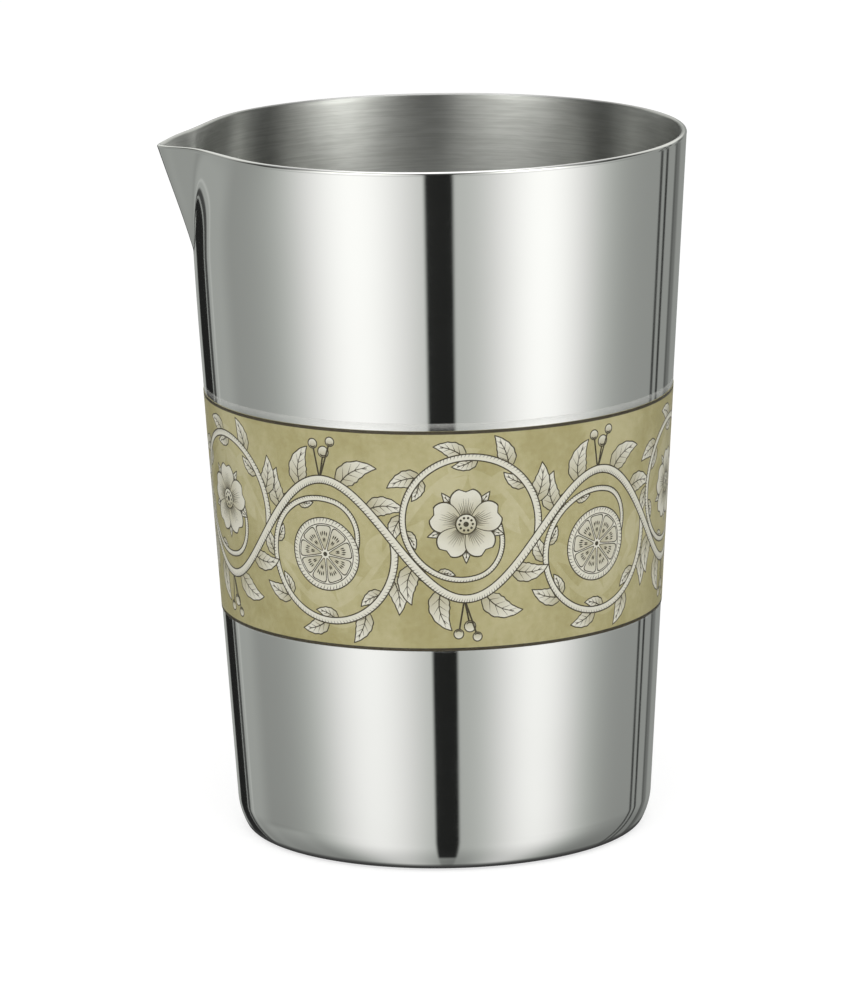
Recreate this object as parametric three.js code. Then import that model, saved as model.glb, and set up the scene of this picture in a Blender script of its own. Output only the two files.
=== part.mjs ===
// Stainless steel mixing cup for stirred drinks: a mirror-polished outer shell and a satin liner,
// joined at a rolled lip, with a spout pinched out of the rim and a printed band round the middle.
// Millimetres, +Z up. The origin is the centre of the flat underside and the spout points along -X.
import * as THREE from 'three';

const { degToRad, clamp, lerp } = THREE.MathUtils;

// Body
const HEIGHT = 131.1;
const RIM_DIAMETER = 93;
const BASE_DIAMETER = 77.1; // where the wall's cone would meet the table
const SHEET = 0.5; // shell, liner and base cap are drawn from the same sheet
const WELD_GAP = 0.05; // clearance at each welded seat

// Lip: the liner's rim, rolled outward over the shell's top edge
const LIP_SKIRT = 0.27; // straight part between the lip's round and its ledge

// Spout: pinched out of the rim, with a crease that runs straight down into the wall
const SPOUT_REACH = 4.95; // how far the tip stands out of the rim circle
const SPOUT_DEPTH = 21; // height of the crease
const SPOUT_HALF_ANGLE = degToRad(13); // where the straight flanks would meet the rim circle
const FOOT_ROUNDING = 0.42; // how softly the flanks run out into the wall, in half angles
const TIP_DROOP = 0.73;
const TIP_DROOP_ANGLE = degToRad(8.2);

// Hollow: the wall is drawn in on both sides of the spout and below its crease
const HOLLOW_DEPTH = 1.04; // at the rim
const HOLLOW_ANGLE = degToRad(24.7); // where the rim is drawn in most
const HOLLOW_BREADTH = degToRad(12.8);
const HOLLOW_REACH = 40; // height over which it fades out
const HOLLOW_FADE = 2;

// Bottom edge of the shell: a long soft curve out of the wall, then a tight corner.
// Bend radii are measured on the inside of the sheet.
const EDGE_BEND = 11.5;
const EDGE_TURN = degToRad(25);
const CORNER_BEND = 0.8;
const BOTTOM_LEDGE = 4.5; // width of the shell's flat underside round the base cap

// Base cap: a shallow pan plugged into the shell's underside and welded round its flange
const CAP_STAND = 0.3; // how far the cap stands proud of the shell's underside
const CAP_FLANGE = 4;
const CAP_BEND = 0.3;

// Liner: narrows faster than the shell, so the air space between them widens downward
const WALL_SPACE = 4; // between the walls, at the liner's floor
const FLOOR_SPACE = 1.5; // between the base cap's flange and the liner's floor
const LINER_BEND = 6.5;

// Band: a printed strip under a clear film that laps onto the metal above and below it
const PRINT_BOTTOM = 42.4;
const PRINT_HEIGHT = 41.2;
const PRINT_THICKNESS = 0.09;
const FILM_THICKNESS = 0.07;
const FILM_STEP = 0.15; // length over which the film comes down from the print to the metal
const FILM_ABOVE = 1.25; // flat on the metal above the print
const FILM_BELOW = 0.15; // flat on the metal below the print
const GLUE_LINE = 0.03;
const SEAM_GAP = 0.6; // between the band's two ends, opposite the spout

// Fineness of the faces
const COLUMNS = 64;
const COLUMN_CROWDING = 0.6; // draws the columns together at the spout
const SPOUT_RINGS = 7;
const HOLLOW_RINGS = 3; // below the crease
const CORNER_STEPS = 4;
const LIP_STEPS = 6;

// Cones of the two walls, before the spout is pinched
const WALL_SLOPE = (RIM_DIAMETER - BASE_DIAMETER) / 2 / HEIGHT;
const WALL_ANGLE = Math.atan(WALL_SLOPE);
const wallRadius = (z) => BASE_DIAMETER / 2 + WALL_SLOPE * z;

const LINER_TOP_RADIUS = RIM_DIAMETER / 2 - SHEET / Math.cos(WALL_ANGLE) - WELD_GAP;
const LINER_FLOOR_Z = CAP_FLANGE + FLOOR_SPACE;
const LINER_FLOOR_RADIUS = wallRadius(LINER_FLOOR_Z) - SHEET / Math.cos(WALL_ANGLE) - WALL_SPACE;
const LINER_SLOPE = (LINER_TOP_RADIUS - LINER_FLOOR_RADIUS) / (HEIGHT - LINER_FLOOR_Z);
const LINER_ANGLE = Math.atan(LINER_SLOPE);
const linerRadius = (z) => LINER_FLOOR_RADIUS + LINER_SLOPE * (z - LINER_FLOOR_Z);

// Lip: a full round over both sheets, with a ledge that sits on the shell's top edge
const LIP_RADIUS = (RIM_DIAMETER / 2 - LINER_TOP_RADIUS + SHEET / Math.cos(LINER_ANGLE)) / 2;
const LEDGE_Z = HEIGHT - LIP_RADIUS - LIP_SKIRT;
const SHELL_TOP_Z = LEDGE_Z - WELD_GAP;

// Heights of the rings that both walls share, from the foot of the hollow to the shell's top edge
const ringsBetween = (bottom, top, count) =>
  Array.from({ length: count }, (_, ring) => lerp(bottom, top, ring / count));
const RING_HEIGHTS = [
  ...ringsBetween(HEIGHT - HOLLOW_REACH, HEIGHT - SPOUT_DEPTH, HOLLOW_RINGS),
  ...ringsBetween(HEIGHT - SPOUT_DEPTH, HEIGHT, SPOUT_RINGS),
  SHELL_TOP_Z,
];

// Columns round the axis, as angles counted from the spout, with the band's seam after the last
const SEAM_HALF_ANGLE = SEAM_GAP / 2 / wallRadius(PRINT_BOTTOM);
const COLUMN_ANGLES = Array.from({ length: COLUMNS + 1 }, (_, column) => {
  const even = (2 * column) / COLUMNS - 1;
  const crowded = even - (COLUMN_CROWDING * Math.sin(Math.PI * even)) / Math.PI;
  return (Math.PI - SEAM_HALF_ANGLE) * crowded;
});

const point = (radius, z) => new THREE.Vector2(radius, z);

// Points of an arc that turns left while its heading goes from one angle to another
function arc(centre, radius, fromHeading, toHeading, steps) {
  return Array.from({ length: steps + 1 }, (_, step) => {
    const heading = lerp(fromHeading, toHeading, step / steps);
    return point(centre.x + radius * Math.sin(heading), centre.y - radius * Math.cos(heading));
  });
}

// Pinches the spout into a point of the round body. The flanks go out to the crease and narrow with
// depth, so that the crease ends in a point on the wall. The hollow beside them closes in below it.
function pinch(radius, z, angle) {
  const depth = HEIGHT - z;
  const share = clamp(1 - depth / SPOUT_DEPTH, 0, 1);
  const drawnIn = HOLLOW_DEPTH * clamp(1 - depth / HOLLOW_REACH, 0, 1) ** HOLLOW_FADE;
  const hollow = drawnIn * Math.exp(-(((Math.abs(angle) - HOLLOW_ANGLE * share) / HOLLOW_BREADTH) ** 2));
  if (share === 0) return point(radius - hollow, z);
  const across = Math.abs(angle) / (SPOUT_HALF_ANGLE * share);
  const foot = clamp(1 - across + FOOT_ROUNDING, 0, 2 * FOOT_ROUNDING) ** 2 / (4 * FOOT_ROUNDING);
  const flank = Math.max(1 - across, foot);
  const droop = Math.exp(-((angle / TIP_DROOP_ANGLE) ** 2));
  return point(radius + SPOUT_REACH * share * flank - hollow, z - TIP_DROOP * share * droop);
}

// Turns a profile of radius and height round the axis, with the spout pinched into it. The profile
// runs with its material on the left, and either starts and ends on the axis or closes on itself.
// An open turn stops at the band's seam and has a flat face at both ends.
function turn(profile, { open = false } = {}) {
  const positions = [];
  const faces = [];
  const addVertex = (radius, z, angle) => {
    const place = pinch(radius, z, angle);
    positions.push(-place.x * Math.cos(angle), -place.x * Math.sin(angle), place.y);
    return positions.length / 3 - 1;
  };
  const rings = profile.map(({ x: radius, y: z }) => {
    if (radius > 0) return COLUMN_ANGLES.map((angle) => addVertex(radius, z, angle));
    return new Array(COLUMN_ANGLES.length).fill(addVertex(0, z, Math.PI));
  });

  const onAxis = profile[0].x === 0;
  const bands = onAxis ? rings.length - 1 : rings.length;
  const sectors = open ? COLUMN_ANGLES.length - 1 : COLUMN_ANGLES.length;
  for (let band = 0; band < bands; band += 1) {
    const next = (band + 1) % rings.length;
    const rising = profile[next].y > profile[band].y;
    for (let sector = 0; sector < sectors; sector += 1) {
      const beside = (sector + 1) % COLUMN_ANGLES.length;
      const corners = [rings[band][sector], rings[band][beside], rings[next][beside], rings[next][sector]];
      faces.push(...splitQuad(corners, rising === COLUMN_ANGLES[sector] >= 0));
    }
  }
  if (open) {
    const last = COLUMN_ANGLES.length - 1;
    for (const [a, b, c] of THREE.ShapeUtils.triangulateShape(profile, [])) {
      faces.push([rings[a][0], rings[b][0], rings[c][0]]);
      faces.push([rings[a][last], rings[c][last], rings[b][last]]);
    }
  }

  const geometry = new THREE.BufferGeometry();
  geometry.setAttribute('position', new THREE.Float32BufferAttribute(positions, 3));
  geometry.setIndex(faces.flat());
  geometry.computeVertexNormals();
  return geometry;
}

// Two triangles of a four-cornered patch, or the one that is left where two corners meet on the axis
function splitQuad([a, b, c, d], alongFirst) {
  if (a === b) return [[a, c, d]];
  if (c === d) return [[a, b, c]];
  return alongFirst ? [[a, b, c], [a, c, d]] : [[a, b, d], [b, c, d]];
}

// Corner of the shell's underside, placed so that the long curve above it runs into the wall
const WALL_HEADING = Math.PI / 2 - WALL_ANGLE;
const CORNER_HEADING = WALL_HEADING - EDGE_TURN;
const CORNER_Z = CAP_STAND + SHEET + CORNER_BEND;
const EDGE_Z = CORNER_Z + (EDGE_BEND - CORNER_BEND) * Math.cos(CORNER_HEADING);
const EDGE_CENTRE = point(wallRadius(EDGE_Z) - (EDGE_BEND + SHEET) / Math.cos(WALL_ANGLE), EDGE_Z);
const CORNER_CENTRE = point(
  EDGE_CENTRE.x + (EDGE_BEND - CORNER_BEND) * Math.sin(CORNER_HEADING),
  CORNER_Z,
);
const CAP_HOLE_RADIUS = CORNER_CENTRE.x - BOTTOM_LEDGE;

// One face of the shell's sheet, from the hole for the base cap up to the top edge
function shellFace(inset) {
  const outside = SHEET - inset;
  return [
    point(CAP_HOLE_RADIUS, CAP_STAND + inset),
    ...arc(CORNER_CENTRE, CORNER_BEND + outside, 0, CORNER_HEADING, CORNER_STEPS),
    ...arc(EDGE_CENTRE, EDGE_BEND + outside, CORNER_HEADING, WALL_HEADING, CORNER_STEPS).slice(1),
    ...RING_HEIGHTS.map((z) => point(wallRadius(z) - inset / Math.cos(WALL_ANGLE), z)),
  ];
}

function outerShell() {
  return turn([...shellFace(0), ...shellFace(SHEET).reverse()]);
}

// One face of the liner's sheet, from the middle of its floor up to the shell's top edge
function linerFace(inset) {
  const outerBend = LINER_BEND + SHEET;
  const bendZ = LINER_FLOOR_Z + outerBend;
  const bendCentre = point(linerRadius(bendZ) - outerBend / Math.cos(LINER_ANGLE), bendZ);
  return [
    point(0, LINER_FLOOR_Z + inset),
    ...arc(bendCentre, outerBend - inset, 0, Math.PI / 2 - LINER_ANGLE, CORNER_STEPS),
    ...RING_HEIGHTS.map((z) => point(linerRadius(z) - inset / Math.cos(LINER_ANGLE), z)),
  ];
}

function innerLiner() {
  const lipCentre = point(RIM_DIAMETER / 2 - LIP_RADIUS, HEIGHT - LIP_RADIUS);
  return turn([
    ...linerFace(0),
    point(linerRadius(LEDGE_Z), LEDGE_Z),
    point(wallRadius(LEDGE_Z), LEDGE_Z),
    ...arc(lipCentre, LIP_RADIUS, Math.PI / 2, Math.PI * 1.5, LIP_STEPS),
    ...linerFace(SHEET).reverse(),
  ]);
}

function baseCap() {
  const radius = CAP_HOLE_RADIUS - WELD_GAP;
  const outerBend = CAP_BEND + SHEET;
  const bendCentre = point(radius - outerBend, outerBend);
  const face = (inset) => [
    point(0, inset),
    ...arc(bendCentre, outerBend - inset, 0, Math.PI / 2, CORNER_STEPS),
    point(radius - inset, CAP_FLANGE),
  ];
  return turn([...face(0), ...face(SHEET).reverse()]);
}

// A point of the band, at a height and a distance out from the wall
const bandPoint = (z, outward) => point(wallRadius(z) + outward, z);
const PRINT_TOP = PRINT_BOTTOM + PRINT_HEIGHT;

function printedStrip() {
  const face = (outward) => [bandPoint(PRINT_BOTTOM, outward), bandPoint(PRINT_TOP, outward)];
  return turn([...face(GLUE_LINE + PRINT_THICKNESS), ...face(GLUE_LINE).reverse()], { open: true });
}

function clearFilm() {
  const overPrint = GLUE_LINE + PRINT_THICKNESS;
  const face = (outward) => [
    bandPoint(PRINT_BOTTOM - FILM_STEP - FILM_BELOW, outward),
    bandPoint(PRINT_BOTTOM - FILM_STEP, outward),
    bandPoint(PRINT_BOTTOM, outward + overPrint),
    bandPoint(PRINT_TOP, outward + overPrint),
    bandPoint(PRINT_TOP + FILM_STEP, outward),
    bandPoint(PRINT_TOP + FILM_STEP + FILM_ABOVE, outward),
  ];
  return turn([...face(GLUE_LINE + FILM_THICKNESS), ...face(GLUE_LINE).reverse()], { open: true });
}

const polishedSteel = new THREE.MeshStandardMaterial({ color: 0xd9d9d6, metalness: 1, roughness: 0.06 });
const satinSteel = new THREE.MeshStandardMaterial({ color: 0xb9bab6, metalness: 1, roughness: 0.38 });
const khakiPrint = new THREE.MeshStandardMaterial({ color: 0xb8b285, metalness: 0, roughness: 0.5 });
const clearVinyl = new THREE.MeshStandardMaterial({
  color: 0xf2f2ee,
  metalness: 0,
  roughness: 0.3,
  transparent: true,
  opacity: 0.2,
});

const cup = new THREE.Group();
for (const [name, geometry, material] of [
  ['outer_shell', outerShell(), polishedSteel],
  ['inner_liner', innerLiner(), satinSteel],
  ['base_cap', baseCap(), satinSteel],
  ['printed_strip', printedStrip(), khakiPrint],
  ['clear_film', clearFilm(), clearVinyl],
]) {
  const mesh = new THREE.Mesh(geometry, material);
  mesh.name = name;
  cup.add(mesh);
}

export default cup;
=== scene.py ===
"""Looks of the steel mixing cup: fine surfaces, finishes and the printed vine round its middle.

Sizes are in millimetres until a mesh is made. Angles round the cup are counted from the spout.
"""

import math

import bpy
import numpy as np
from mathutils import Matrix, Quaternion, Vector
from mathutils.geometry import delaunay_2d_cdt


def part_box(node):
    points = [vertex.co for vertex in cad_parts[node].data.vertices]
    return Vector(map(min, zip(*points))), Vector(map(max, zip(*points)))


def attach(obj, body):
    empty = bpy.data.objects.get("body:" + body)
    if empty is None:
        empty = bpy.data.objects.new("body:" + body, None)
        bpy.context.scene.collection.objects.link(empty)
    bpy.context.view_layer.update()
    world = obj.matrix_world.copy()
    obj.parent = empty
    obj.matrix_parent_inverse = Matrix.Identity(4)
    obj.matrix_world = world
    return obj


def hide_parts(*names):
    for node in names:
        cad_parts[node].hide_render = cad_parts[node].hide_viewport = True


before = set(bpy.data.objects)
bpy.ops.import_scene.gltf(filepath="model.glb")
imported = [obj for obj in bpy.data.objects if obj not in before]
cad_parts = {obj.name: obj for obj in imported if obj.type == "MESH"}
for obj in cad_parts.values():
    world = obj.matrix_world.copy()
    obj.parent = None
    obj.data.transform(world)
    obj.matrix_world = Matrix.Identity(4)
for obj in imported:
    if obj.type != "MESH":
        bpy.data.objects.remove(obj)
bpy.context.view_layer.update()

MM = 0.001

# Body
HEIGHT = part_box("inner_liner")[1].z / MM
RIM_DIAMETER = 93
BASE_DIAMETER = 77.1
SHEET = 0.5
WELD_GAP = 0.05
LIP_SKIRT = 0.27

# Spout
SPOUT_REACH = 4.95
SPOUT_DEPTH = 21
SPOUT_HALF_ANGLE = math.radians(13)
FOOT_ROUNDING_BELOW = 0.05
FOOT_ROUNDING_AT_LIP = 0.165
HOLLOW_DEPTH = 1.04
HOLLOW_ANGLE = math.radians(24.7)
HOLLOW_BREADTH = math.radians(12.8)
HOLLOW_REACH = 40
HOLLOW_FADE = 2
TIP_DROOP = 0.73
TIP_DROOP_ANGLE = math.radians(8.2)
CREASE_ROUNDING = math.radians(0.8)
CREASE_END_ROUNDING = 0.02

# Bottom edge and base cap
EDGE_BEND = 11.5
EDGE_TURN = math.radians(25)
CORNER_BEND = 0.8
BOTTOM_LEDGE = 4.5
CAP_STAND = 0.3
CAP_FLANGE = 4
CAP_BEND = 0.3

# Liner
WALL_SPACE = 4
FLOOR_SPACE = 1.5
LINER_BEND = 6.5

# Band
PRINT_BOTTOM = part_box("printed_strip")[0].z / MM
PRINT_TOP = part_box("printed_strip")[1].z / MM
PRINT_THICKNESS = 0.09
FILM_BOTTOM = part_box("clear_film")[0].z / MM
FILM_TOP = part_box("clear_film")[1].z / MM
FILM_THICKNESS = 0.07
FILM_STEP = 0.15
GLUE_LINE = 0.03
SEAM_GAP = 0.6

# Fineness of the faces
COLUMNS = 400
COLUMN_CROWDING = 0.88
SPOUT_RINGS = 60
WALL_RINGS = 24
BEND_STEPS = 14
LIP_STEPS = 28
LEDGE_RINGS = 3
LINER_FLOOR_RINGS = 7
CAP_RINGS = 11
FILM_RINGS = 12
RING_PAUSE = 1
SPOUT_START = 0.6
SHARP_ANGLE = math.radians(38)

# Cones of the two walls, and the lip that joins them
WALL_SLOPE = (RIM_DIAMETER - BASE_DIAMETER) / 2 / HEIGHT
WALL_ANGLE = math.atan(WALL_SLOPE)
LINER_TOP_RADIUS = RIM_DIAMETER / 2 - SHEET / math.cos(WALL_ANGLE) - WELD_GAP


def wall_radius(z):
    return BASE_DIAMETER / 2 + WALL_SLOPE * z


LINER_FLOOR_Z = CAP_FLANGE + FLOOR_SPACE
LINER_FLOOR_RADIUS = wall_radius(LINER_FLOOR_Z) - SHEET / math.cos(WALL_ANGLE) - WALL_SPACE
LINER_SLOPE = (LINER_TOP_RADIUS - LINER_FLOOR_RADIUS) / (HEIGHT - LINER_FLOOR_Z)
LINER_ANGLE = math.atan(LINER_SLOPE)


def liner_radius(z):
    return LINER_FLOOR_RADIUS + LINER_SLOPE * (z - LINER_FLOOR_Z)


LIP_RADIUS = (RIM_DIAMETER / 2 - LINER_TOP_RADIUS + SHEET / math.cos(LINER_ANGLE)) / 2
LEDGE_Z = HEIGHT - LIP_RADIUS - LIP_SKIRT

WALL_HEADING = math.pi / 2 - WALL_ANGLE
CORNER_HEADING = WALL_HEADING - EDGE_TURN
CORNER_Z = CAP_STAND + SHEET + CORNER_BEND
EDGE_Z = CORNER_Z + (EDGE_BEND - CORNER_BEND) * math.cos(CORNER_HEADING)
EDGE_CENTRE = (wall_radius(EDGE_Z) - (EDGE_BEND + SHEET) / math.cos(WALL_ANGLE), EDGE_Z)
CORNER_CENTRE = (EDGE_CENTRE[0] + (EDGE_BEND - CORNER_BEND) * math.sin(CORNER_HEADING), CORNER_Z)
CAP_HOLE_RADIUS = CORNER_CENTRE[0] - BOTTOM_LEDGE

SEAM_HALF_ANGLE = SEAM_GAP / 2 / wall_radius(PRINT_BOTTOM)
BAND_RADIUS = wall_radius((PRINT_BOTTOM + PRINT_TOP) / 2)


# Turned surfaces

def arc(centre, radius, from_heading, to_heading, steps):
    """Points of an arc that turns left while its heading goes from one angle to another."""
    turn = np.linspace(from_heading, to_heading, steps + 1)
    return np.stack([centre[0] + radius * np.sin(turn), centre[1] - radius * np.cos(turn)], 1)


def pinch(radius, z, angle):
    """Pinches the spout into points of the round body, with its crease and its feet rounded."""
    share = np.minimum((z - HEIGHT + SPOUT_DEPTH) / SPOUT_DEPTH, 1)
    share = (share + np.hypot(share, CREASE_END_ROUNDING)) / 2
    share = np.where(share > CREASE_END_ROUNDING ** 2, share, 0)
    rounded = np.hypot(angle, CREASE_ROUNDING) - CREASE_ROUNDING
    across = rounded / (SPOUT_HALF_ANGLE * np.maximum(share, CREASE_END_ROUNDING ** 2))
    rounding = FOOT_ROUNDING_BELOW + (FOOT_ROUNDING_AT_LIP - FOOT_ROUNDING_BELOW) * share ** 2
    flank = rounding * np.logaddexp(0, (1 - across) / rounding)
    drawn_in = HOLLOW_DEPTH * np.clip(1 - (HEIGHT - z) / HOLLOW_REACH, 0, 1) ** HOLLOW_FADE
    hollow = np.exp(-(((np.abs(angle) - HOLLOW_ANGLE * share) / HOLLOW_BREADTH) ** 2))
    droop = np.exp(-((angle / TIP_DROOP_ANGLE) ** 2))
    reach = SPOUT_REACH * share * flank - drawn_in * hollow
    return radius + reach, z - TIP_DROOP * share * droop


def columns(count, half_turn):
    """Angles round the axis, drawn together at the spout, from one end of a turn to the other."""
    even = np.linspace(-1, 1, count + 1)
    return half_turn * (even - COLUMN_CROWDING * np.sin(math.pi * even) / math.pi)


def placed(radius, z, angle):
    """Points in metres at a radius, height and angle from the spout."""
    return np.stack([-radius * np.cos(angle), -radius * np.sin(angle), z], -1) * MM


def make_object(name, points, faces):
    """A smooth-shaded mesh object with its true edges kept sharp."""
    mesh = bpy.data.meshes.new(name)
    mesh.from_pydata(points, [], faces)
    mesh.shade_smooth()
    mesh.set_sharp_from_angle(angle=SHARP_ANGLE)
    mesh.validate()
    piece = bpy.data.objects.new(name, mesh)
    bpy.context.scene.collection.objects.link(piece)
    return piece


def turn(name, profile, open_turn=False):
    """Turns a profile of radius and height round the axis, with the spout pinched into it.

    The profile runs with its material on the left, and starts and ends on the axis or closes on itself.
    An open turn stops at the band's seam and has a flat face at both ends.
    """
    if open_turn:
        angles = columns(COLUMNS, math.pi - SEAM_HALF_ANGLE)
    else:
        angles = columns(COLUMNS, math.pi)[:-1]
    radius, z = pinch(profile[:, :1], profile[:, 1:], angles[None, :])
    points = placed(radius, z, angles[None, :]).reshape(-1, 3)
    rings, count = len(profile), len(angles)
    index = np.arange(rings * count).reshape(rings, count)
    on_axis = profile[0, 0] == 0
    if on_axis:
        index[0] = index[0, 0]
        index[-1] = index[-1, 0]
    lower = index if not on_axis else index[:-1]
    upper = np.roll(index, -1, 0) if not on_axis else index[1:]
    if open_turn:
        corners = [lower[:, :-1], lower[:, 1:], upper[:, 1:], upper[:, :-1]]
    else:
        corners = [lower, np.roll(lower, -1, 1), np.roll(upper, -1, 1), upper]
    quads = np.stack(corners, -1).reshape(-1, 4)
    faces = [list(dict.fromkeys(quad)) for quad in quads.tolist()]
    if open_turn:
        faces.append(index[:, 0].tolist())
        faces.append(index[::-1, -1].tolist())
    used, faces = compact(faces)
    return make_object(name, points[used], faces)


def compact(faces):
    """The point numbers that faces use, and the faces renumbered to them."""
    used = sorted({corner for face in faces for corner in face})
    number = {old: new for new, old in enumerate(used)}
    return used, [[number[corner] for corner in face] for face in faces]


def spout_heights(top):
    """Heights of the rings from the plain wall up to an edge, close together on the spout."""
    spout_z = HEIGHT - SPOUT_DEPTH
    plain = np.linspace(EDGE_Z, spout_z - RING_PAUSE, WALL_RINGS)[1:]
    return np.concatenate([plain, np.linspace(spout_z - SPOUT_START, top, SPOUT_RINGS)])


def cone(heights, radius):
    return np.stack([radius(heights), heights], 1)


def shell_face(inset):
    outside = SHEET - inset
    drop = inset / math.cos(WALL_ANGLE)
    ledge = np.linspace(CAP_HOLE_RADIUS, CORNER_CENTRE[0], LEDGE_RINGS + 1)[:-1]
    return np.concatenate([
        np.stack([ledge, np.full(LEDGE_RINGS, CAP_STAND + inset)], 1),
        arc(CORNER_CENTRE, CORNER_BEND + outside, 0, CORNER_HEADING, BEND_STEPS),
        arc(EDGE_CENTRE, EDGE_BEND + outside, CORNER_HEADING, WALL_HEADING, BEND_STEPS)[1:],
        cone(spout_heights(LEDGE_Z), lambda z: wall_radius(z) - drop),
    ])


def outer_shell():
    return turn("shell", np.concatenate([shell_face(0), shell_face(SHEET)[::-1]]))


def liner_face(inset):
    outer_bend = LINER_BEND + SHEET
    bend_z = LINER_FLOOR_Z + outer_bend
    bend_centre = (liner_radius(bend_z) - outer_bend / math.cos(LINER_ANGLE), bend_z)
    drop = inset / math.cos(LINER_ANGLE)
    heights = spout_heights(LEDGE_Z)
    floor = np.linspace(0, bend_centre[0], LINER_FLOOR_RINGS + 1)[:-1]
    return np.concatenate([
        np.stack([floor, np.full(LINER_FLOOR_RINGS, LINER_FLOOR_Z + inset)], 1),
        arc(bend_centre, outer_bend - inset, 0, math.pi / 2 - LINER_ANGLE, BEND_STEPS),
        cone(heights[heights > bend_z + RING_PAUSE], lambda z: liner_radius(z) - drop),
    ])


def inner_liner():
    lip_centre = (RIM_DIAMETER / 2 - LIP_RADIUS, HEIGHT - LIP_RADIUS)
    profile = np.concatenate([
        liner_face(0),
        [[wall_radius(LEDGE_Z), LEDGE_Z]],
        arc(lip_centre, LIP_RADIUS, math.pi / 2, math.pi * 1.5, LIP_STEPS),
        liner_face(SHEET)[::-1],
    ])
    return turn("liner", profile)


def base_cap():
    radius = CAP_HOLE_RADIUS - WELD_GAP
    outer_bend = CAP_BEND + SHEET
    centre = (radius - outer_bend, outer_bend)
    flat = np.linspace(0, centre[0], CAP_RINGS + 1)[:-1]

    def face(inset):
        return np.concatenate([
            np.stack([flat, np.full(CAP_RINGS, float(inset))], 1),
            arc(centre, outer_bend - inset, 0, math.pi / 2, BEND_STEPS),
            [[radius - inset, CAP_FLANGE]],
        ])
    return turn("cap", np.concatenate([face(0), face(SHEET)[::-1]]))


def clear_film():
    over_print = GLUE_LINE + PRINT_THICKNESS
    heights = np.concatenate([
        [FILM_BOTTOM, PRINT_BOTTOM - FILM_STEP],
        np.linspace(PRINT_BOTTOM, PRINT_TOP, FILM_RINGS),
        [PRINT_TOP + FILM_STEP, FILM_TOP],
    ])
    raised = (heights >= PRINT_BOTTOM) & (heights <= PRINT_TOP)

    def face(outward):
        return np.stack([wall_radius(heights) + outward + over_print * raised, heights], 1)
    profile = np.concatenate([face(GLUE_LINE + FILM_THICKNESS), face(GLUE_LINE)[::-1]])
    return turn("film", profile, open_turn=True)


# Shader nodes

class Nodes:
    """A node tree filled one node at a time. Inputs are numbers, colours or other nodes' sockets."""

    def __init__(self, owner):
        owner.use_nodes = True
        self.tree = owner.node_tree
        self.tree.nodes.clear()

    def add(self, kind, inputs=None, **settings):
        node = self.tree.nodes.new("ShaderNode" + kind)
        for name, value in settings.items():
            setattr(node, name, value)
        for name, value in (inputs or {}).items():
            if isinstance(value, bpy.types.NodeSocket):
                self.tree.links.new(value, node.inputs[name])
            else:
                node.inputs[name].default_value = value
        return node.outputs

    def math(self, operation, first, second=0.0):
        return self.add("Math", {0: first, 1: second}, operation=operation)[0]

    def blend(self, first, second, share):
        """Sum of two values, of which the first has the given share."""
        weighted = self.math("MULTIPLY", first, share)
        return self.math("ADD", weighted, self.math("MULTIPLY", second, 1 - share))

    def smooth(self, value, low, high, to_low=0.0, to_high=1.0):
        """A value that goes smoothly from one level to another between two limits."""
        inputs = {"Value": value, "From Min": low, "From Max": high, "To Min": to_low, "To Max": to_high}
        return self.add("MapRange", inputs, interpolation_type="SMOOTHSTEP")[0]

    def mix(self, share, first, second):
        inputs = {0: share, 6: first, 7: second}
        return self.add("Mix", inputs, data_type="RGBA")[2]

    def scaled(self, vector, scale):
        return self.add("VectorMath", {0: vector, 1: scale}, operation="MULTIPLY")[0]

    def noise(self, vector, scale, detail=2.0, roughness=0.5):
        """Noise with a scale per axis, in features per metre."""
        vector = self.scaled(vector, scale)
        inputs = {"Vector": vector, "Scale": 1.0, "Detail": detail, "Roughness": roughness}
        return self.add("TexNoise", inputs)[0]

    def place(self):
        return self.add("TexCoord")["Object"]

    def output(self, shader, kind="OutputMaterial"):
        self.add(kind, {"Surface": shader})


def colour(red, green, blue):
    return (red, green, blue, 1.0)


# Finishes

NOISE_LOW, NOISE_HIGH = 0.3, 0.7

BUFF_CLOUDS = (60, 60, 60)
BUFF_MARKS = (90, 90, 5000)
BUFF_CLOUD_SHARE = 0.6
BUFF_ROUGHNESS = (0.035, 0.075)

TURNED_MARKS = (40, 40, 3200)
TURNED_SHARE = 0.55
POLISH_WAVES = (150, 150, 1300)
WAVE_SWAY = (120, 120, 160)
SWAY_HEIGHT = 0.0016
STREAK_LOW, STREAK_HIGH = 0.35, 0.65
SATIN_CLOUDS = (25, 25, 40)
SATIN_ROUGHNESS = (0.26, 0.34)
SATIN_BUMP = {"Strength": 0.14, "Distance": 0.00008}
SATIN_STRETCH = 0.9

LATHE_RINGS = (2600, 1, 1)
BASE_CLOUDS = (90, 90, 90)
BASE_ROUGHNESS = (0.28, 0.40)
BASE_BUMP = {"Strength": 0.15, "Distance": 0.00006}
BASE_STRETCH = 0.6
QUARTER_TURN = 0.25

PRINT_BLOTCHES = (70, 70, 55)
PRINT_GRAIN = (900, 900, 900)
BLOTCH_SHARE = 0.75
AGE_LOW, AGE_HIGH = 0.32, 0.68
PRINT_ROUGHNESS = (0.30, 0.40)
PRINT_GLOSS = {"Specular IOR Level": 0.12, "Coat Weight": 0.12, "Coat Roughness": 0.25}

FILM_HAZE = (400, 400, 400)
HAZE_LOW, HAZE_HIGH = 0.2, 0.8
HAZE_SPREAD = (0.85, 1.15)
FILM_OVER_PRINT = 0.02
FILM_AT_EDGE = 0.11
FILM_ROUGHNESS = 0.4


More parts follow.
